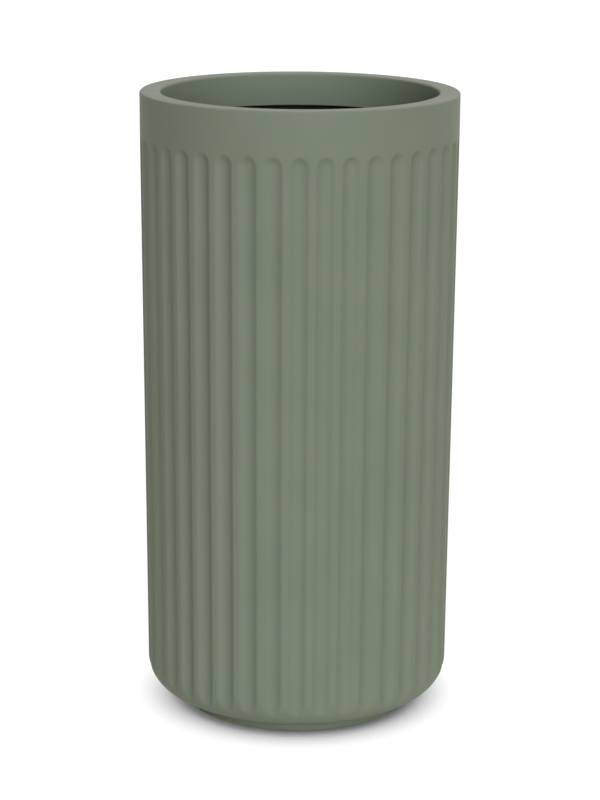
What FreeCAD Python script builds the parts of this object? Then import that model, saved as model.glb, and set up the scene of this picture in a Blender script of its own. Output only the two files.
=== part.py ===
import FreeCAD, Part
import math
import os

from FreeCAD import Vector

# A tall round fluted floor planter in moulded fibreglass. Millimetres, +Z up.
# The origin is on the floor, at the centre of the foot, and a flute faces -Y.

# Outer form
overall_height = 795.0
rim_radius = 200.0
base_radius = 195.3      # where the bottom corner starts
band_height = 50.0       # plain upright band under the rim
corner_width = 34.5      # rounded bottom corner, measured inwards
corner_height = 37.5     # and upwards

# Flutes: round-bottomed channels with arched tops, parallel to the tapered wall
flute_count = 40
flute_radius = 15.7      # of the channel's round section
flute_depth = 4.4
flute_top_drop = 54.3    # from the rim down to the top of an arch

# Shell walls
band_wall = 5.0
flute_wall = 3.6         # left behind the deepest line of a flute
ledge_thickness = 6.0
inner_corner_width = 18.0   # slope where the wall meets the ledge
inner_corner_height = 20.0

# Rim moulding, bonded inside the top of the shell
rim_width = 26.0         # flat top, shell edge included
rim_plate = 5.0
rim_outer_bevel = 1.5
rim_inner_bevel = 2.0
lip_depth = 42.0
lip_wall = 5.0
lip_bevel = 1.5          # softens its lower edge towards the mouth
rim_flange_depth = 46.0
rim_flange_wall = 4.0

# Foot moulding, bonded under the ledge
foot_height = 17.0
foot_radius = 148.0
foot_width = 26.0
foot_edge_bevel = 1.0

# Floor, bonded on the ledge
floor_thickness = 6.0
floor_fall = 3.0         # how far its top drops from the edge to the drain
floor_edge_gap = 0.5     # from the inner corner, filled with resin

# Drain hole and its push-in plug
drain_radius = 10.0
drain_seat_radius = 18.0
boss_radius = 24.0
boss_depth = 5.0
plug_head_radius = 15.0
plug_head_height = 3.0
plug_crown = 1.5         # bevelled top of the head
plug_reach = 4.0         # how far the stem shows under the boss
plug_tip_taper = 2.0
plug_clearance = 0.1     # stem in hole, on the radius

# Heights and radii that the pieces share
band_bottom = overall_height - band_height
corner_top = foot_height + corner_height
ledge_top = foot_height + ledge_thickness
floor_top = ledge_top + floor_thickness
drain_seat = floor_top - floor_fall
boss_bottom = ledge_top - boss_depth
foot_inner_radius = foot_radius - foot_width
socket_radius = rim_radius - band_wall
flange_seat = overall_height - rim_flange_depth
mouth_radius = rim_radius - rim_width
wall_behind_face = flute_depth + flute_wall
taper = (rim_radius - base_radius) / (band_bottom - corner_top)


def at(radius, height):
    return Vector(radius, 0, height)


def body_radius(height):
    """Radius of the tapered outer wall at a height under the plain band."""
    return base_radius + taper * (height - corner_top)


def run(start, end):
    """A straight stretch of a profile."""
    return Part.LineSegment(start, end).toShape()


def long_taper(start, end):
    """The slight taper of a tall wall, drawn as a two-point curve so that the wall stays one strip."""
    stretch = Part.BezierCurve()
    stretch.setPoles([start, end])
    return stretch.toShape()


def rounding(start, corner, end):
    """The quarter ellipse that replaces a square corner of a profile."""
    centre = start + end - corner
    ends = sorted([start, end], key=lambda point: (point - centre).Length)
    shorter, longer = ends
    return Part.Arc(Part.Ellipse(longer, shorter, centre), 0, math.pi / 2).toShape()


def revolved(edges):
    """Turns a closed half profile once round the vertical axis."""
    outline = Part.Wire(Part.__sortEdges__(edges))
    return Part.Face(outline).revolve(Vector(0, 0, 0), Vector(0, 0, 1), 360)


def polygon(corners):
    """Straight runs from corner to corner and back to the first."""
    return [run(corner, corners[i - 1]) for i, corner in enumerate(corners)]


def plain_shell():
    """The shell before its flutes: band, tapered wall, rounded bottom corner and inward ledge."""
    corner_radius = base_radius - corner_width
    inner_wall = base_radius - wall_behind_face
    inner_corner_top = ledge_top + inner_corner_height
    outer = [
        run(at(foot_inner_radius, foot_height), at(corner_radius, foot_height)),
        rounding(at(corner_radius, foot_height), at(base_radius, foot_height), at(base_radius, corner_top)),
        long_taper(at(base_radius, corner_top), at(rim_radius, band_bottom)),
        run(at(rim_radius, band_bottom), at(rim_radius, overall_height - rim_outer_bevel)),
        run(at(rim_radius, overall_height - rim_outer_bevel), at(rim_radius - rim_outer_bevel, overall_height)),
        run(at(rim_radius - rim_outer_bevel, overall_height), at(socket_radius, overall_height)),
    ]
    inner = [
        run(at(socket_radius, overall_height), at(socket_radius, flange_seat)),
        run(at(socket_radius, flange_seat), at(rim_radius - wall_behind_face, flange_seat)),
        long_taper(at(rim_radius - wall_behind_face, flange_seat), at(inner_wall, inner_corner_top)),
        run(at(inner_wall, inner_corner_top), at(inner_wall - inner_corner_width, ledge_top)),
        run(at(inner_wall - inner_corner_width, ledge_top), at(foot_inner_radius, ledge_top)),
        run(at(foot_inner_radius, ledge_top), at(foot_inner_radius, foot_height)),
    ]
    return revolved(outer + inner)


def flute_cutter():
    """One channel as a round-ended bar that leans with the taper, its far end below the corner."""
    half_width = math.sqrt(flute_radius**2 - (flute_radius - flute_depth) ** 2)
    arch_centre = overall_height - flute_top_drop - half_width
    diagonal = flute_radius * math.sqrt(0.5)
    bar_end = at(0, -arch_centre)
    bar_side = at(flute_radius, -arch_centre)
    edges = [
        run(bar_end, bar_side),
        run(bar_side, at(flute_radius, 0)),
        Part.Arc(at(flute_radius, 0), at(diagonal, diagonal), at(0, flute_radius)).toShape(),
        run(at(0, flute_radius), bar_end),
    ]
    bar = revolved(edges)
    lean = math.atan(taper)
    bar.rotate(Vector(0, 0, 0), Vector(0, 1, 0), math.degrees(lean))
    axis_offset = flute_radius - flute_depth
    bar.translate(
        at(
            body_radius(arch_centre) + axis_offset * math.cos(lean),
            arch_centre - axis_offset * math.sin(lean),
        )
    )
    return bar


def fluted_shell():
    cutters = []
    for i in range(flute_count):
        cutter = flute_cutter()
        cutter.rotate(Vector(0, 0, 0), Vector(0, 0, 1), -90 + i * 360 / flute_count)
        cutters.append(cutter)
    return plain_shell().cut(cutters)


def rim_collar():
    """Flat rim plate with a flange bonded inside the shell and a lip turned down round the mouth."""
    plate_bottom = overall_height - rim_plate
    lip_bottom = overall_height - lip_depth
    lip_back = mouth_radius + lip_wall
    flange_inside = socket_radius - rim_flange_wall
    corners = [
        at(socket_radius, flange_seat),
        at(socket_radius, overall_height),
        at(mouth_radius + rim_inner_bevel, overall_height),
        at(mouth_radius, overall_height - rim_inner_bevel),
        at(mouth_radius, lip_bottom + lip_bevel),
        at(mouth_radius + lip_bevel, lip_bottom),
        at(lip_back, lip_bottom),
        at(lip_back, plate_bottom),
        at(flange_inside, plate_bottom),
        at(flange_inside, flange_seat),
    ]
    return revolved(polygon(corners))


def foot_ring():
    """The recessed plinth that carries the planter."""
    corners = [
        at(foot_inner_radius, foot_height),
        at(foot_radius, foot_height),
        at(foot_radius, foot_edge_bevel),
        at(foot_radius - foot_edge_bevel, 0),
        at(foot_inner_radius, 0),
    ]
    return revolved(polygon(corners))


def floor_pan():
    """Floor disc that falls to a drain hole with a flat seat, and a boss under it."""
    floor_radius = base_radius - wall_behind_face - inner_corner_width - floor_edge_gap
    corners = [
        at(drain_radius, drain_seat),
        at(drain_seat_radius, drain_seat),
        at(floor_radius, floor_top),
        at(floor_radius, ledge_top),
        at(boss_radius, ledge_top),
        at(boss_radius, boss_bottom),
        at(drain_radius, boss_bottom),
    ]
    return revolved(polygon(corners))


def drain_plug():
    """Rubber stopper: a bevelled head on the seat and a stem through the floor."""
    stem_radius = drain_radius - plug_clearance
    head_top = drain_seat + plug_head_height
    crown_top = head_top + plug_crown
    tip = boss_bottom - plug_reach
    corners = [
        at(0, crown_top),
        at(plug_head_radius - plug_crown, crown_top),
        at(plug_head_radius, head_top),
        at(plug_head_radius, drain_seat),
        at(stem_radius, drain_seat),
        at(stem_radius, tip + plug_tip_taper),
        at(stem_radius - plug_tip_taper, tip),
        at(0, tip),
    ]
    return revolved(polygon(corners))


pieces = {
    "fluted_shell": fluted_shell,
    "rim_collar": rim_collar,
    "foot_ring": foot_ring,
    "floor_pan": floor_pan,
    "drain_plug": drain_plug,
}

os.makedirs("parts", exist_ok=True)
for name, make in pieces.items():
    shape = make()
    print(name, shape.isValid(), len(shape.Solids), round(shape.Volume / 1000), "cm3")
    shape.exportStep("parts/" + name + ".step")
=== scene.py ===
import math
from functools import partial

import bpy
from mathutils import Matrix, Vector


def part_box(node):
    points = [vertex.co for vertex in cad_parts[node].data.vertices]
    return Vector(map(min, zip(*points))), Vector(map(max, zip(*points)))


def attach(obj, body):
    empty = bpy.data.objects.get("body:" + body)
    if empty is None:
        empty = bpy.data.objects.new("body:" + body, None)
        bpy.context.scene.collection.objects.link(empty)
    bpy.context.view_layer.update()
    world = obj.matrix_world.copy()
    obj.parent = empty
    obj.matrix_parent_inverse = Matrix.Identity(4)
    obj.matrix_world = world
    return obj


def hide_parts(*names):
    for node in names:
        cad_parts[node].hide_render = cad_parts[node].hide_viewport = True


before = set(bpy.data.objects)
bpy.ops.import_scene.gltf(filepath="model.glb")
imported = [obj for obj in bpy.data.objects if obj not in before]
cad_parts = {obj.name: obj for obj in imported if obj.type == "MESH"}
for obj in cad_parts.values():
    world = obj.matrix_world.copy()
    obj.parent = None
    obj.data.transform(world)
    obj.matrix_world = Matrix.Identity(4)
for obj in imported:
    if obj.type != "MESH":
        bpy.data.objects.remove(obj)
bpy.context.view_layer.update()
print("frame loaded:", ", ".join(sorted(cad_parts)))

scene = bpy.context.scene
floatSocket = "NodeSocketFloat"
geometrySocket = "NodeSocketGeometry"
black = (0, 0, 0, 1)
white = (1, 1, 1, 1)
noiseRange = (0.3, 0.7)  # nearly all values of a noise texture lie in it
crispAngle = math.radians(40)  # an edge that bends more than this stays crisp


# Helpers that add and join nodes.

def connect(tree, value, socket):  # a link from another node, or a fixed value
    if isinstance(value, bpy.types.NodeSocket):
        tree.links.new(value, socket)
    else:
        socket.default_value = value


def addNode(tree, kind, settings=None, **inputs):  # inputs by name, spaces written as _
    node = tree.nodes.new(kind)
    for key, value in (settings or {}).items():
        setattr(node, key, value)
    for key, value in inputs.items():
        connect(tree, value, node.inputs[key.replace("_", " ")])
    return node


def mathNode(tree, operation, *values):
    node = tree.nodes.new("ShaderNodeMath")
    node.operation = operation
    for value, socket in zip(values, node.inputs):
        connect(tree, value, socket)
    return node.outputs[0]


def mapRange(tree, value, source, target=(0.0, 1.0), kind="LINEAR"):  # a value from one range to another
    node = addNode(tree, "ShaderNodeMapRange", {"interpolation_type": kind}, Value=value,
                   From_Min=source[0], From_Max=source[1], To_Min=target[0], To_Max=target[1])
    return node.outputs["Result"]


def blendColour(tree, share, first, second):
    node = tree.nodes.new("ShaderNodeMix")
    node.data_type = "RGBA"
    connect(tree, share, node.inputs["Factor"])
    connect(tree, first, node.inputs["A"])
    connect(tree, second, node.inputs["B"])
    return node.outputs["Result"]


def newGroup(name, kind, inputs, outputs):
    tree = bpy.data.node_groups.new(name, kind)
    for label, socketType, default in inputs:
        socket = tree.interface.new_socket(label, in_out="INPUT", socket_type=socketType)
        if default is not None:
            socket.default_value = default
    for label, socketType in outputs:
        tree.interface.new_socket(label, in_out="OUTPUT", socket_type=socketType)
    source = tree.nodes.new("NodeGroupInput")
    result = tree.nodes.new("NodeGroupOutput")
    return tree, source.outputs, result.inputs


# Effects that the finishes share.

def objectPlace(tree):
    return addNode(tree, "ShaderNodeTexCoord").outputs["Object"]


def noise(tree, place, size, detail, roughness=0.5):  # size is that of its largest patches
    scale = mathNode(tree, "DIVIDE", 1.0, size)
    node = addNode(tree, "ShaderNodeTexNoise", Vector=place, Scale=scale, Detail=detail, Roughness=roughness)
    return node.outputs["Fac"]


def fineGrain():  # the small unevenness of sprayed paint, resin or moulded rubber
    inputs = [
        ("Grain Size", floatSocket, 0.003),
        ("Wave Size", floatSocket, 0.08),
        ("Wave Share", floatSocket, 0.5),
    ]
    outputs = [("Height", floatSocket), ("Patches", floatSocket)]
    tree, given, result = newGroup("fineGrain", "ShaderNodeTree", inputs, outputs)
    place = objectPlace(tree)
    grain = noise(tree, place, given["Grain Size"], detail=3.0, roughness=0.55)
    wave = noise(tree, place, given["Wave Size"], detail=2.0)
    share = mathNode(tree, "MULTIPLY", wave, given["Wave Share"])
    connect(tree, mathNode(tree, "ADD", grain, share), result["Height"])
    connect(tree, wave, result["Patches"])
    return tree


dustAndHighlightFacing = (0.3, 0.95)  # how far up a face has to look for the first dust and painted top highlight, and for all of it
dustAndHighlightShare = (0.7, 1.0)  # of that dust and painted highlight, what lies in the thin and in the thick patches


def dustAndTopHighlight():  # thin dust on what faces up, which also paints the tops lighter and warmer as a painted highlight from above
    tree, given, result = newGroup(
        "dustAndTopHighlight", "ShaderNodeTree", [("Patch Size", floatSocket, 0.05)], [("Mask", floatSocket)])
    facing = addNode(tree, "ShaderNodeNewGeometry").outputs["Normal"]
    up = addNode(tree, "ShaderNodeSeparateXYZ", Vector=facing).outputs["Z"]
    level = mapRange(tree, up, dustAndHighlightFacing, kind="SMOOTHSTEP")
    patches = noise(tree, objectPlace(tree), given["Patch Size"], detail=4.0)
    uneven = mapRange(tree, patches, noiseRange, dustAndHighlightShare)
    connect(tree, mathNode(tree, "MULTIPLY", level, uneven), result["Mask"])
    return tree


strandTurns = ((0.4, 0.3, 0.0), (-0.9, 0.5, 1.1), (1.3, -0.7, 2.3))  # three directions that cross


def choppedStrand():  # short glass strands lying under the resin
    inputs = [("Strand Width", floatSocket, 0.0014), ("Strand Length", floatSocket, 0.03)]
    tree, given, result = newGroup("choppedStrand", "ShaderNodeTree", inputs, [("Height", floatSocket)])
    place = objectPlace(tree)
    across = mathNode(tree, "DIVIDE", 1.0, given["Strand Width"])
    along = mathNode(tree, "DIVIDE", 1.0, given["Strand Length"])
    stretch = addNode(tree, "ShaderNodeCombineXYZ", X=across, Y=across, Z=along).outputs["Vector"]
    height = None
    for turn in strandTurns:
        turned = addNode(tree, "ShaderNodeMapping", Vector=place, Rotation=turn, Scale=stretch)
        node = addNode(tree, "ShaderNodeTexNoise", Vector=turned.outputs["Vector"], Scale=1.0, Detail=1.5)
        strands = node.outputs["Fac"]
        height = strands if height is None else mathNode(tree, "MAXIMUM", height, strands)
    connect(tree, height, result["Height"])
    return tree


groups = {"fineGrain": fineGrain(), "dustAndTopHighlight": dustAndTopHighlight(), "choppedStrand": choppedStrand()}


def placeGroup(tree, name, **inputs):
    return addNode(tree, "ShaderNodeGroup", {"node_tree": groups[name]}, **inputs).outputs


# The finishes.

def newMaterial(name):
    material = bpy.data.materials.new(name)
    material.use_nodes = True
    tree = material.node_tree
    return material, tree, tree.nodes["Principled BSDF"]


def placeGrain(tree, finish):
    return placeGroup(tree, "fineGrain", Grain_Size=finish["grainSize"],
                      Wave_Size=finish["waveSize"], Wave_Share=finish["waveShare"])


def coverSurface(tree, surface, finish, colour, patches, height):  # dust with a painted top highlight, sheen and relief over a colour
    dustAndHighlight = placeGroup(tree, "dustAndTopHighlight", Patch_Size=finish["dustAndHighlightPatch"])
    dustyAndHighlit = mathNode(tree, "MULTIPLY", dustAndHighlight["Mask"], finish["dustAndHighlight"])
    connect(tree, blendColour(tree, dustyAndHighlit, colour, finish["dustAndHighlightColour"]), surface.inputs["Base Color"])
    connect(tree, mapRange(tree, patches, noiseRange, finish["roughness"]), surface.inputs["Roughness"])
    surface.inputs["Specular IOR Level"].default_value = finish["gloss"]
    bump = addNode(tree, "ShaderNodeBump", Height=height, Distance=finish["relief"], Strength=1.0)
    connect(tree, bump.outputs["Normal"], surface.inputs["Normal"])


paint = {
    "colour": (0.168, 0.202, 0.149, 1),
    "paleColour": (0.180, 0.214, 0.160, 1),
    # dust on what faces up, also a painted highlight: warm and strong enough to paint the rim's top lighter,
    # as light from above does
    "dustAndHighlightColour": (0.38, 0.31, 0.26, 1),
    "dustAndHighlight": 0.22,
    "dustAndHighlightPatch": 0.04,
    "roughness": (0.52, 0.60),
    "gloss": 0.15,
    "grainSize": 0.0035,  # orange peel
    "waveSize": 0.09,
    "waveShare": 2.0,
    "relief": 0.00007,
}


def sagePaint():
    material, tree, surface = newMaterial("sagePaint")
    grain = placeGrain(tree, paint)
    pale = mapRange(tree, grain["Patches"], noiseRange)
    colour = blendColour(tree, pale, paint["colour"], paint["paleColour"])
    coverSurface(tree, surface, paint, colour, grain["Patches"], grain["Height"])
    return material


laminate = {
    "colour": (0.0085, 0.0090, 0.0070, 1),
    "strandColour": (0.021, 0.022, 0.018, 1),
    "strandWidth": 0.0016,
    "strandLength": 0.035,
    "proudStrands": (0.5, 0.75),  # from the first that show through the resin to bare ones
    "dustAndHighlightColour": (0.10, 0.092, 0.078, 1),
    "dustAndHighlight": 0.25,
    "dustAndHighlightPatch": 0.05,
    "roughness": (0.34, 0.60),
    "gloss": 0.3,
    "grainSize": 0.006,
    "waveSize": 0.05,
    "waveShare": 0.8,
    "grainShare": 0.6,  # of the relief, against the strands
    "relief": 0.0004,
}


def blackLaminate():
    material, tree, surface = newMaterial("blackLaminate")
    strands = placeGroup(tree, "choppedStrand", Strand_Width=laminate["strandWidth"],
                         Strand_Length=laminate["strandLength"])["Height"]
    proud = mapRange(tree, strands, laminate["proudStrands"])
    colour = blendColour(tree, proud, laminate["colour"], laminate["strandColour"])
    grain = placeGrain(tree, laminate)
    grainHeight = mathNode(tree, "MULTIPLY", grain["Height"], laminate["grainShare"])
    height = mathNode(tree, "ADD", strands, grainHeight)
    coverSurface(tree, surface, laminate, colour, grain["Patches"], height)
    return material


rubber = {
    "colour": (0.013, 0.013, 0.013, 1),
    "wornColour": (0.030, 0.029, 0.027, 1),
    "dustAndHighlightColour": (0.10, 0.095, 0.08, 1),
    "dustAndHighlight": 0.35,
    "dustAndHighlightPatch": 0.008,
    "roughness": (0.55, 0.75),
    "gloss": 0.5,
    "grainSize": 0.0008,
    "waveSize": 0.006,
    "waveShare": 1.0,
    "relief": 0.0001,
}


def plugRubber():
    material, tree, surface = newMaterial("plugRubber")
    grain = placeGrain(tree, rubber)
    worn = mapRange(tree, grain["Patches"], noiseRange)
    colour = blendColour(tree, worn, rubber["colour"], rubber["wornColour"])
    coverSurface(tree, surface, rubber, colour, grain["Patches"], grain["Height"])
    return material


finishes = {
    "painted_fibreglass": sagePaint(),
    "raw_fibreglass": blackLaminate(),
    "plug_rubber": plugRubber(),
}
print("finishes made:", ", ".join(finishes))


# The fluted shell: its half profile, and one rule that sinks the flutes into it.

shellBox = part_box("fluted_shell")
shell = {
    "rimRadius": shellBox[1].x,
    "top": shellBox[1].z,
    "underside": shellBox[0].z,
    "baseRadius": 0.1953,  # where the bottom corner starts
    "bandHeight": 0.050,
    "cornerWidth": 0.0345,
    "cornerHeight": 0.0375,
    "ledgeInside": 0.122,
    "ledgeThickness": 0.006,
    "wall": 0.008,
    "socketRadius": 0.195,  # the rim moulding sits inside it
    "socketDepth": 0.046,
    "innerCorner": (0.018, 0.020),  # width and height of the slope above the ledge
    "innerSag": 0.35,  # 0.5 would make that slope straight, and less makes it hollow
    "rimRounding": 0.0025,
    "fluteCount": 40,
    "fluteRadius": 0.0157,
    "fluteDepth": 0.0044,
    "edgeRadius": 0.0062,  # softens both edges of a flute
    "archDrop": 0.0670,  # from the rim to the centre of an arch
    "archSlope": 0.88,  # below 1 the arch is taller and ends softer
    "runOutSoftness": 0.0012,
    "columnsPerFlute": 24,
    "rimRows": 6,
    "bandRows": 4,
    "archRows": 17,  # close together
    "fluteRows": 14,
    "rowMargin": 0.004,  # from the rim's rounding and the arches' centres down to the next row
    "cornerRows": ((0, -40, 20), (-45, -90, 9)),  # degrees from, degrees to, rows
    "mergeDistance": 0.00002,
    "paintedFrom": 0.75,  # a face with a smaller share of its corners outside is laminate
}
shell["bandBottom"] = shell["top"] - shell["bandHeight"]
shell["cornerTop"] = shell["underside"] + shell["cornerHeight"]
shell["archCentre"] = shell["top"] - shell["archDrop"]


def arc(centre, across, up, start, end, steps):  # points of an ellipse, angles in degrees
    angles = (math.radians(start + (end - start) * i / steps) for i in range(steps + 1))
    return [(centre[0] + across * math.cos(a), centre[1] + up * math.sin(a)) for a in angles]


def levels(start, end, steps):  # heights from start towards end, the last left out
    return [start + (end - start) * i / steps for i in range(steps)]


def outerProfile():  # from the rim moulding over the rim and down to the ledge
    rimRadius, baseRadius, rounding = shell["rimRadius"], shell["baseRadius"], shell["rimRounding"]
    top, bandBottom, cornerTop = shell["top"], shell["bandBottom"], shell["cornerTop"]
    taper = (rimRadius - baseRadius) / (bandBottom - cornerTop)
    points = [(shell["socketRadius"], top)]
    points += arc((rimRadius - rounding, top - rounding), rounding, rounding, 90, 0, shell["rimRows"])
    archBottom = shell["archCentre"] - shell["rowMargin"]
    heights = levels(top - rounding - shell["rowMargin"], bandBottom, shell["bandRows"])
    heights += levels(bandBottom, archBottom, shell["archRows"])
    heights += levels(archBottom, cornerTop, shell["fluteRows"])
    points += [(baseRadius + taper * (min(z, bandBottom) - cornerTop), z) for z in heights]
    cornerCentre = (baseRadius - shell["cornerWidth"], cornerTop)
    for start, end, rows in shell["cornerRows"]:
        points += arc(cornerCentre, shell["cornerWidth"], shell["cornerHeight"], start, end, rows)
    return points + [(shell["ledgeInside"], shell["underside"])]


def innerProfile():  # from the ledge up the inside to the rim moulding's seat
    ledgeTop = shell["underside"] + shell["ledgeThickness"]
    innerWall = shell["baseRadius"] - shell["wall"]
    seat = shell["top"] - shell["socketDepth"]
    width, height = shell["innerCorner"]
    sag = shell["innerSag"]
    return [
        (shell["ledgeInside"], ledgeTop),
        (innerWall - width, ledgeTop),
        (innerWall - width * sag, ledgeTop + height * sag),
        (innerWall, ledgeTop + height),
        (shell["rimRadius"] - shell["wall"], seat),
        (shell["socketRadius"], seat),
    ]


def wallGrid(tree, calc, given):  # a grid with columns round the axis and rows along the profile
    size = addNode(tree, "GeometryNodeAttributeDomainSize", Geometry=given["Profile"])
    rows = size.outputs["Point Count"]
    rowPoints = calc("ADD", rows, 1.0)
    columnPoints = calc("ADD", calc("MULTIPLY", given["Flute Count"], given["Columns Per Flute"]), 1.0)
    grid = addNode(tree, "GeometryNodeMeshGrid", Vertices_X=columnPoints, Vertices_Y=rowPoints)
    index = addNode(tree, "GeometryNodeInputIndex").outputs["Index"]
    column = calc("FLOOR", calc("DIVIDE", calc("ADD", index, 0.5), rowPoints))
    row = calc("MODULO", calc("SUBTRACT", index, calc("MULTIPLY", column, rowPoints)), rows)
    return grid.outputs["Mesh"], column, row


def readProfile(tree, given, row):  # radius and height of a row, and whether it is outside
    def sample(kind, value):
        node = addNode(tree, "GeometryNodeSampleIndex", {"data_type": kind},
                       Geometry=given["Profile"], Index=row)
        connect(tree, value, node.inputs["Value"])
        return node.outputs["Value"]

    place = sample("FLOAT_VECTOR", addNode(tree, "GeometryNodeInputPosition").outputs["Position"])
    point = addNode(tree, "ShaderNodeSeparateXYZ", Vector=place).outputs
    mask = addNode(tree, "GeometryNodeInputNamedAttribute", {"data_type": "FLOAT"}, Name="outside")
    return point["X"], point["Z"], sample("FLOAT", mask.outputs["Attribute"])


def plainRadius(calc, given, height):  # of the tapered wall without its bottom corner
    climb = calc("DIVIDE", calc("SUBTRACT", height, given["Corner Top"]),
                 calc("SUBTRACT", given["Band Bottom"], given["Corner Top"]))
    gain = calc("MULTIPLY", calc("SUBTRACT", given["Rim Radius"], given["Base Radius"]),
                calc("MINIMUM", climb, 1.0))
    return calc("ADD", given["Base Radius"], gain)


def distanceToFlute(calc, given, turn, pitch, wallRadius, height):  # from its centre line, over the arch too
    offset = calc("SUBTRACT", turn, calc("ROUND", turn))
    sideways = calc("MULTIPLY", calc("MULTIPLY", offset, pitch), wallRadius)
    above = calc("MAXIMUM", calc("SUBTRACT", height, given["Arch Centre"]), 0.0)
    above = calc("MULTIPLY", above, given["Arch Slope"])
    return calc("SQRT", calc("ADD", calc("POWER", sideways, 2.0), calc("POWER", above, 2.0)))


def fluteSection(calc, given, away):  # a hollow arc that meets a small round edge on each side
    hollowRadius, depth, edge = given["Flute Radius"], given["Flute Depth"], given["Edge Radius"]

    def side(longest, other):  # of a right-angled triangle
        return calc("SQRT", calc("SUBTRACT", calc("POWER", longest, 2.0), calc("POWER", other, 2.0)))

    centreLift = calc("SUBTRACT", hollowRadius, depth)
    reach = calc("ADD", hollowRadius, edge)
    edgeEnd = side(reach, calc("ADD", centreLift, edge))
    edgeStart = calc("DIVIDE", calc("MULTIPLY", edgeEnd, hollowRadius), reach)
    hollow = calc("SUBTRACT", side(hollowRadius, calc("MINIMUM", away, edgeStart)), centreLift)
    onEdge = calc("SUBTRACT", edgeEnd, calc("MINIMUM", calc("MAXIMUM", away, edgeStart), edgeEnd))
    rounded = calc("SUBTRACT", edge, side(edge, onEdge))
    isHollow = calc("LESS_THAN", away, edgeStart)
    return calc("ADD", calc("MULTIPLY", isHollow, hollow),
                calc("MULTIPLY", calc("SUBTRACT", 1.0, isHollow), rounded))


def sinkFlutes(calc, given, section, wallRadius, radius, outside):
    # over the bottom corner the flutes run straight on and fade out softly
    gap = calc("MAXIMUM", calc("SUBTRACT", wallRadius, radius), 0.0)
    soft = calc("POWER", calc("MINIMUM", calc("MULTIPLY", gap, 2.0), given["Run Out Softness"]), 2.0)

    def softLength(value):
        return calc("SQRT", calc("ADD", calc("POWER", value, 2.0), soft))

    left = calc("SUBTRACT", section, gap)
    cut = calc("ADD", left, softLength(left))
    offCut = calc("SUBTRACT", softLength(gap), gap)
    sunk = calc("MULTIPLY", calc("MULTIPLY", calc("SUBTRACT", cut, offCut), 0.5), outside)
    return calc("SUBTRACT", radius, sunk)


def finishShell(tree, calc, given, geometry, outside):  # closes the seams and sets both materials
    marked = addNode(tree, "GeometryNodeStoreNamedAttribute", {"data_type": "FLOAT", "domain": "POINT"},
                     Geometry=geometry, Name="outside", Value=outside)
    closed = addNode(tree, "GeometryNodeMergeByDistance", Geometry=marked.outputs["Geometry"],
                     Distance=shell["mergeDistance"])
    smooth = addNode(tree, "GeometryNodeSetShadeSmooth", Geometry=closed.outputs["Geometry"])
    whole = addNode(tree, "GeometryNodeRealizeInstances", Geometry=smooth.outputs["Geometry"])
    painted = addNode(tree, "GeometryNodeSetMaterial", Geometry=whole.outputs["Geometry"],
                      Material=given["Paint"])
    mask = addNode(tree, "GeometryNodeInputNamedAttribute", {"data_type": "FLOAT"}, Name="outside")
    unpainted = calc("LESS_THAN", mask.outputs["Attribute"], shell["paintedFrom"])
    lined = addNode(tree, "GeometryNodeSetMaterial", Geometry=painted.outputs["Geometry"],
                    Selection=unpainted, Material=given["Laminate"])
    return lined.outputs["Geometry"]


def fluteTree(inputs):
    tree, given, result = newGroup("flutedWall", "GeometryNodeTree", inputs, [("Mesh", geometrySocket)])
    calc = partial(mathNode, tree)
    grid, column, row = wallGrid(tree, calc, given)
    radius, height, outside = readProfile(tree, given, row)
    wallRadius = plainRadius(calc, given, height)
    turn = calc("DIVIDE", column, given["Columns Per Flute"])  # round the axis, counted in flutes
    pitch = calc("DIVIDE", math.tau, given["Flute Count"])
    away = distanceToFlute(calc, given, turn, pitch, wallRadius, height)
    section = fluteSection(calc, given, away)
    finalRadius = sinkFlutes(calc, given, section, wallRadius, radius, outside)
    angle = calc("MULTIPLY", turn, pitch)
    where = addNode(tree, "ShaderNodeCombineXYZ", Z=height,
                    X=calc("MULTIPLY", finalRadius, calc("SINE", angle)),
                    Y=calc("MULTIPLY", finalRadius, calc("MULTIPLY", calc("COSINE", angle), -1.0)))
    placed = addNode(tree, "GeometryNodeSetPosition", Geometry=grid, Position=where.outputs["Vector"])
    mesh = finishShell(tree, calc, given, placed.outputs["Geometry"], outside)
    connect(tree, mesh, result["Mesh"])
    return tree


def fixMesh(piece, name):  # the evaluated result becomes the piece's own mesh
    bpy.context.view_layer.update()
    evaluated = piece.evaluated_get(bpy.context.evaluated_depsgraph_get())
    mesh = bpy.data.meshes.new_from_object(evaluated)
    mesh.name = name
    mesh.set_sharp_from_angle(angle=crispAngle)
    piece.modifiers.clear()
    piece.data = mesh


def pointOutwards(mesh):  # a closed mesh with a negative volume is inside out
    volume = 0.0
    for polygon in mesh.polygons:
        corners = [mesh.vertices[i].co for i in polygon.vertices]
        for b, c in zip(corners[1:], corners[2:]):
            volume += corners[0].dot(b.cross(c))
    if volume < 0:
        mesh.flip_normals()


def ridesOn(piece, body, node):
    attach(piece, body)
    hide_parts(node)


def addObject(name, data):
    item = bpy.data.objects.new(name, data)
    scene.collection.objects.link(item)
    return item


def profileMesh(outside, inside):  # a closed loop of points, marked where it is outside
    points = outside + inside
    mesh = bpy.data.meshes.new("shellProfile")
    edges = [(i, (i + 1) % len(points)) for i in range(len(points))]
    mesh.from_pydata([(r, 0, z) for r, z in points], edges, [])
    mask = mesh.attributes.new("outside", "FLOAT", "POINT")
    mask.data.foreach_set("value", [1.0] * len(outside) + [0.0] * len(inside))
    return mesh


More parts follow.
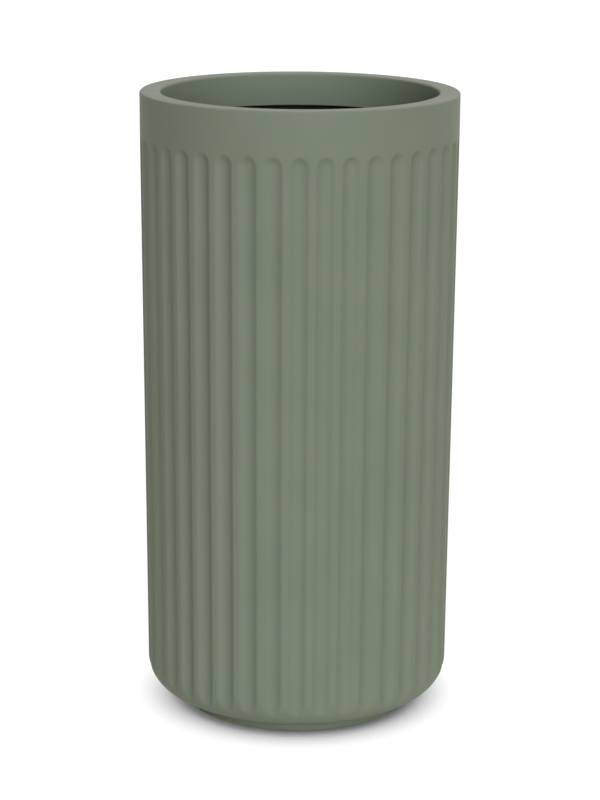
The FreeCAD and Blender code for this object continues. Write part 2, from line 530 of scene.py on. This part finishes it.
def makeShell():
    piece = addObject("flutedShell", profileMesh(outerProfile(), innerProfile()))
    values = {
        "Flute Count": shell["fluteCount"],
        "Columns Per Flute": shell["columnsPerFlute"],
        "Flute Radius": shell["fluteRadius"],
        "Flute Depth": shell["fluteDepth"],
        "Edge Radius": shell["edgeRadius"],
        "Arch Centre": shell["archCentre"],
        "Arch Slope": shell["archSlope"],
        "Band Bottom": shell["bandBottom"],
        "Corner Top": shell["cornerTop"],
        "Rim Radius": shell["rimRadius"],
        "Base Radius": shell["baseRadius"],
        "Run Out Softness": shell["runOutSoftness"],
        "Paint": finishes["painted_fibreglass"],
        "Laminate": finishes["raw_fibreglass"],
    }
    socketTypes = {int: "NodeSocketInt", float: floatSocket, bpy.types.Material: "NodeSocketMaterial"}
    inputs = [("Profile", geometrySocket, None)]
    inputs += [(label, socketTypes[type(value)], value) for label, value in values.items()]
    tree = fluteTree(inputs)
    modifier = piece.modifiers.new("flutes", "NODES")
    modifier.node_group = tree
    for socket in tree.interface.items_tree:
        if socket.name in values:
            modifier[socket.identifier] = values[socket.name]
    fixMesh(piece, "flutedShell")
    pointOutwards(piece.data)
    ridesOn(piece, "planter", "fluted_shell")
    return piece


flutedShell = makeShell()
print("fluted shell made:", len(flutedShell.data.polygons), "faces")


# The turned pieces: half profiles with rounded corners, spun round the axis.

arcSteps = 5
plugArcSteps = 4
onAxis = 1e-6  # a point nearer to the axis than this is on it


def softened(corners, steps=arcSteps):  # (radius, height, rounding) corners, each rounding drawn as an arc
    points = []
    for i, (r, z, rounding) in enumerate(corners):
        if not rounding:
            points.append((r, z))
            continue
        here = Vector((r, z))
        before = (Vector(corners[i - 1][:2]) - here).normalized()
        after = (Vector(corners[(i + 1) % len(corners)][:2]) - here).normalized()
        half = before.angle(after) / 2
        length = rounding / math.tan(half)
        centre = here + (before + after).normalized() * (rounding / math.sin(half))
        first, last = here + before * length - centre, here + after * length - centre
        sweep = first.angle_signed(last)
        for step in range(steps + 1):
            share = step / steps
            points.append(tuple(centre + Matrix.Rotation(-sweep * share, 2) @ first))
    return points


def spunMesh(name, points, segments, closed):
    verts, faces, rings = [], [], []
    for r, z in points:
        if r < onAxis:
            rings.append([len(verts)])
            verts.append((0, 0, z))
            continue
        rings.append(list(range(len(verts), len(verts) + segments)))
        for i in range(segments):
            angle = math.tau * i / segments
            verts.append((r * math.sin(angle), -r * math.cos(angle), z))
    pairs = list(zip(rings, rings[1:]))
    if closed:
        pairs.append((rings[-1], rings[0]))
    for upper, lower in pairs:
        for i in range(segments):
            j = (i + 1) % segments
            loop = [upper[i % len(upper)], upper[j % len(upper)],
                    lower[j % len(lower)], lower[i % len(lower)]]
            faces.append(list(dict.fromkeys(loop)))
    mesh = bpy.data.meshes.new(name)
    mesh.from_pydata(verts, [], faces)
    return mesh


def turnedPiece(name, points, segments, finish, closed=True, isBare=None):
    # an open profile starts and ends on the axis; faces that are bare show the laminate
    mesh = spunMesh(name, points, segments, closed)
    mesh.materials.append(finishes[finish])
    if isBare:
        mesh.materials.append(finishes["raw_fibreglass"])
        for polygon in mesh.polygons:
            if isBare(polygon.center):
                polygon.material_index = 1
    pointOutwards(mesh)
    mesh.shade_smooth()
    mesh.set_sharp_from_angle(angle=crispAngle)
    return addObject(name, mesh)


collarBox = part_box("rim_collar")
collar = {
    "outside": collarBox[1].x,
    "top": collarBox[1].z,
    "flangeBottom": collarBox[0].z,
    "mouth": 0.174,
    "mouthRounding": 0.003,
    "plate": 0.005,
    "lipBottom": 0.753,
    "lipWall": 0.005,
    "lipRounding": 0.0015,
    "flangeWall": 0.004,
    "backRounding": 0.002,  # where lip and flange meet the plate from below
    "flangeRounding": 0.0008,
    "paintEdge": 0.0008,  # the paint under the lip ends this far before its back
    "topSkin": 0.001,  # faces nearer to the top than this are painted
    "segments": 256,
}


def makeCollar():
    outside, top, mouth, lipBottom = collar["outside"], collar["top"], collar["mouth"], collar["lipBottom"]
    plateBottom = top - collar["plate"]
    lipBack = mouth + collar["lipWall"]
    flangeInside = outside - collar["flangeWall"]
    points = softened([
        (outside, collar["flangeBottom"], 0),
        (outside, top, 0),
        (mouth, top, collar["mouthRounding"]),
        (mouth, lipBottom, collar["lipRounding"]),
        (lipBack, lipBottom, collar["lipRounding"]),
        (lipBack, plateBottom, collar["backRounding"]),
        (flangeInside, plateBottom, collar["backRounding"]),
        (flangeInside, collar["flangeBottom"], collar["flangeRounding"]),
    ])

    def isBack(centre):  # the hidden side stays unpainted
        farOut = math.hypot(centre.x, centre.y) > lipBack - collar["paintEdge"]
        return farOut and centre.z < top - collar["topSkin"]

    piece = turnedPiece("rimCollar", points, collar["segments"], "painted_fibreglass", isBare=isBack)
    ridesOn(piece, "planter", "rim_collar")
    return piece


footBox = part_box("foot_ring")
foot = {
    "radius": footBox[1].x,
    "height": footBox[1].z,
    "width": 0.026,
    "edgeRounding": 0.0015,
    "paintEdge": 0.001,  # the paint under the foot ends this far before its inner side
    "segments": 256,
}


def makeFoot():
    outside = foot["radius"]
    inside = outside - foot["width"]
    points = softened([
        (inside, foot["height"], 0),
        (outside, foot["height"], 0),
        (outside, 0, foot["edgeRounding"]),
        (inside, 0, foot["edgeRounding"]),
    ])

    def isInner(centre):
        return math.hypot(centre.x, centre.y) < inside + foot["paintEdge"]

    piece = turnedPiece("footRing", points, foot["segments"], "painted_fibreglass", isBare=isInner)
    ridesOn(piece, "planter", "foot_ring")
    return piece


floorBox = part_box("floor_pan")
floorPan = {
    "radius": floorBox[1].x,
    "top": floorBox[1].z,
    "bossBottom": floorBox[0].z,
    "underside": 0.023,
    "fall": 0.003,
    "drainRadius": 0.010,
    "drainRounding": 0.0006,
    "seatRadius": 0.018,
    "bossRadius": 0.024,
    "edgeRounding": 0.001,
    "segments": 192,
}


def makeFloor():
    radius, top, fall = floorPan["radius"], floorPan["top"], floorPan["fall"]
    underside, bossBottom = floorPan["underside"], floorPan["bossBottom"]
    drainRounding, edgeRounding = floorPan["drainRounding"], floorPan["edgeRounding"]
    seat = top - fall
    points = softened([
        (floorPan["drainRadius"], seat, drainRounding),
        (floorPan["seatRadius"], seat, 0),
        ((radius + floorPan["seatRadius"]) / 2, seat + fall / 2, 0),
        (radius, top, edgeRounding),
        (radius, underside, 0),
        (floorPan["bossRadius"], underside, 0),
        (floorPan["bossRadius"], bossBottom, edgeRounding),
        (floorPan["drainRadius"], bossBottom, drainRounding),
    ])
    piece = turnedPiece("floorPan", points, floorPan["segments"], "raw_fibreglass")
    ridesOn(piece, "planter", "floor_pan")
    return piece


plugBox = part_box("drain_plug")
plug = {
    "headRadius": plugBox[1].x,
    "top": plugBox[1].z,
    "tip": plugBox[0].z,
    "stemRadius": 0.0099,
    "headBottom": 0.026,
    "crown": 0.0015,
    "tipTaper": 0.002,
    "dimpleRadius": 0.0070,  # shallow moulded hollow in the head
    "dimpleSlope": 0.0012,
    "dimpleDepth": 0.0008,
    "dimpleRoundings": (0.0006, 0.0004),  # at its bottom and at its brim
    "headRounding": 0.0008,
    "seatRounding": 0.0003,
    "stemRounding": 0.001,
    "tipRounding": 0.0006,
    "segments": 96,
}


def makePlug():
    top, tip, crown, taper = plug["top"], plug["tip"], plug["crown"], plug["tipTaper"]
    headRadius, stemRadius, headBottom = plug["headRadius"], plug["stemRadius"], plug["headBottom"]
    dimpleRadius = plug["dimpleRadius"]
    dimpleBottom = top - plug["dimpleDepth"]
    bottomRounding, brimRounding = plug["dimpleRoundings"]
    corners = [
        (0, dimpleBottom, 0),
        (dimpleRadius - plug["dimpleSlope"], dimpleBottom, bottomRounding),
        (dimpleRadius, top, brimRounding),
        (headRadius - crown, top, plug["headRounding"]),
        (headRadius, top - crown, plug["headRounding"]),
        (headRadius, headBottom, plug["seatRounding"]),
        (stemRadius, headBottom, 0),
        (stemRadius, tip + taper, plug["stemRounding"]),
        (stemRadius - taper, tip, plug["tipRounding"]),
        (0, tip, 0),
    ]
    points = softened(corners, plugArcSteps)
    piece = turnedPiece("drainPlug", points, plug["segments"], "plug_rubber", closed=False)
    ridesOn(piece, "plug", "drain_plug")
    return piece


turnedPieces = [makeCollar(), makeFoot(), makeFloor(), makePlug()]
print("turned pieces made:", ", ".join(piece.name for piece in turnedPieces))


# The studio: white paper floor, lamps and the camera that matches the photo.

studio = {
    "floorRadius": 40.0,
    "floorPoints": 96,
    "floorRoughness": 0.9,
    "nearBounce": (0.97, 0.87, 0.77, 1),  # the floor as the object sees it, close by
    "farBounce": (0.74, 0.62, 0.55, 1),  # and further off
    "bounceReach": (0.45, 1.3),  # distances from the axis where the one ends and the other starts
    "floorShare": 0.25,  # of the floor as the camera sees it, what the lamps light
    "floorGlow": 0.90,  # and what glows, so that the paper is white
    "shadowReach": 0.065,  # how near the object darkens the floor
    "shadowSamples": 16,
    "shadow": (  # how open a place on the floor is, and how bright it is
        (0.0, 0.02), (0.09, 0.08), (0.15, 0.16), (0.20, 0.30),
        (0.26, 0.53), (0.40, 0.70), (0.56, 0.86), (0.75, 1.0),
    ),
    "ambient": (0.02, 0.02, 0.02, 1),  # the surroundings as the object sees them
    "lamps": {  # colour, strength, then azimuth, elevation and softness in degrees
        "keyLight": ((0.97, 1.0, 1.02), 1.79, 4, 10, 60),
        "highLight": ((0.98, 1.0, 1.0), 1.18, 4, 40, 60),
        "fillLight": ((0.98, 1.0, 1.0), 0.60, 35, 10, 60),
        "sideLight": ((1.0, 0.97, 0.97), 0.78, 130, 20, 60),
        "topLight": ((1.0, 0.98, 0.96), 0.18, 0, 80, 60),
        "backLight": ((1.0, 0.99, 0.98), 0.55, 180, 46, 50),
    },
}


def seenDirectly(tree):  # 1 for camera, glossy and transmission rays, 0 for the rest
    rays = addNode(tree, "ShaderNodeLightPath").outputs
    direct = mathNode(tree, "MAXIMUM", rays["Is Camera Ray"], rays["Is Glossy Ray"])
    return mathNode(tree, "MAXIMUM", direct, rays["Is Transmission Ray"])


def contactShadow(tree):  # brightness of the floor by how open it is
    nearby = addNode(tree, "ShaderNodeAmbientOcclusion", {"samples": studio["shadowSamples"]},
                     Distance=studio["shadowReach"])
    shadow = addNode(tree, "ShaderNodeValToRGB", Fac=nearby.outputs["AO"])
    stops = shadow.color_ramp.elements
    while len(stops) < len(studio["shadow"]):
        stops.new(1.0)
    for stop, (openness, level) in zip(stops, studio["shadow"]):
        stop.position = openness
        stop.color = (level, level, level, 1)
    return shadow.outputs["Color"]


def bounceColour(tree):  # what the floor gives back to the object, by distance from the axis
    distance = addNode(tree, "ShaderNodeVectorMath", {"operation": "LENGTH"})
    connect(tree, objectPlace(tree), distance.inputs[0])
    away = mapRange(tree, distance.outputs["Value"], studio["bounceReach"], kind="SMOOTHSTEP")
    return blendColour(tree, away, studio["nearBounce"], studio["farBounce"])


def palePaper():
    material, tree, surface = newMaterial("palePaper")
    surface.inputs["Roughness"].default_value = studio["floorRoughness"]
    surface.inputs["Specular IOR Level"].default_value = 0.0
    shadow = contactShadow(tree)
    direct = seenDirectly(tree)
    seen = blendColour(tree, studio["floorShare"], black, shadow)
    colour = blendColour(tree, direct, bounceColour(tree), seen)
    connect(tree, colour, surface.inputs["Base Color"])
    glow = mathNode(tree, "MULTIPLY", mathNode(tree, "MULTIPLY", shadow, studio["floorGlow"]), direct)
    surface.inputs["Emission Color"].default_value = white
    connect(tree, glow, surface.inputs["Emission Strength"])
    return material


def makeFloorDisc():
    radius, count = studio["floorRadius"], studio["floorPoints"]
    angles = [math.tau * i / count for i in range(count)]
    ring = [(radius * math.cos(angle), radius * math.sin(angle), 0) for angle in angles]
    mesh = bpy.data.meshes.new("studioFloor")
    mesh.from_pydata(ring, [], [list(range(count))])
    mesh.materials.append(palePaper())
    disc = addObject("studioFloor", mesh)


def makeWorld():
    world = bpy.data.worlds.new("studioWorld")
    scene.world = world
    world.use_nodes = True
    tree = world.node_tree
    background = tree.nodes["Background"]
    background.inputs["Strength"].default_value = 1.0
    colour = blendColour(tree, seenDirectly(tree), studio["ambient"], white)
    connect(tree, colour, background.inputs["Color"])


def makeLamp(name, colour, strength, azimuth, elevation, softness):
    light = bpy.data.lights.new(name, "SUN")
    light.color = colour
    light.energy = strength
    light.angle = math.radians(softness)
    lamp = addObject(name, light)
    side, rise = math.radians(azimuth), math.radians(elevation)
    source = Vector((math.sin(side) * math.cos(rise), -math.cos(side) * math.cos(rise), math.sin(rise)))
    lamp.rotation_euler = source.to_track_quat("Z", "Y").to_euler()


cameraView = {
    "place": (0.0, -3.0, 1.1753),
    "pitch": 0.2542,  # downwards, in radians like the next two
    "yaw": 0.0008,
    "roll": 0.0063,
    "lens": 108.21,
    "sensorWidth": 36,
    "farthest": 200,
}


def makeCamera():
    pitch, yaw, roll = cameraView["pitch"], cameraView["yaw"], cameraView["roll"]
    forward = Vector((math.sin(yaw) * math.cos(pitch), math.cos(yaw) * math.cos(pitch), -math.sin(pitch)))
    right = Vector((math.cos(yaw), -math.sin(yaw), 0))
    up = right.cross(forward)
    across = right * math.cos(roll) + up * math.sin(roll)
    upwards = up * math.cos(roll) - right * math.sin(roll)
    data = bpy.data.cameras.new("photoCamera")
    data.sensor_width = cameraView["sensorWidth"]
    data.lens = cameraView["lens"]
    data.clip_end = cameraView["farthest"]
    camera = addObject("photoCamera", data)
    turn = Matrix((across, upwards, -forward)).transposed().to_4x4()
    camera.matrix_world = Matrix.Translation(cameraView["place"]) @ turn
    scene.camera = camera


makeFloorDisc()
makeWorld()
for lampName, values in studio["lamps"].items():
    makeLamp(lampName, *values)
makeCamera()
scene.view_settings.view_transform = "Standard"
print("studio made:", ", ".join(studio["lamps"]))
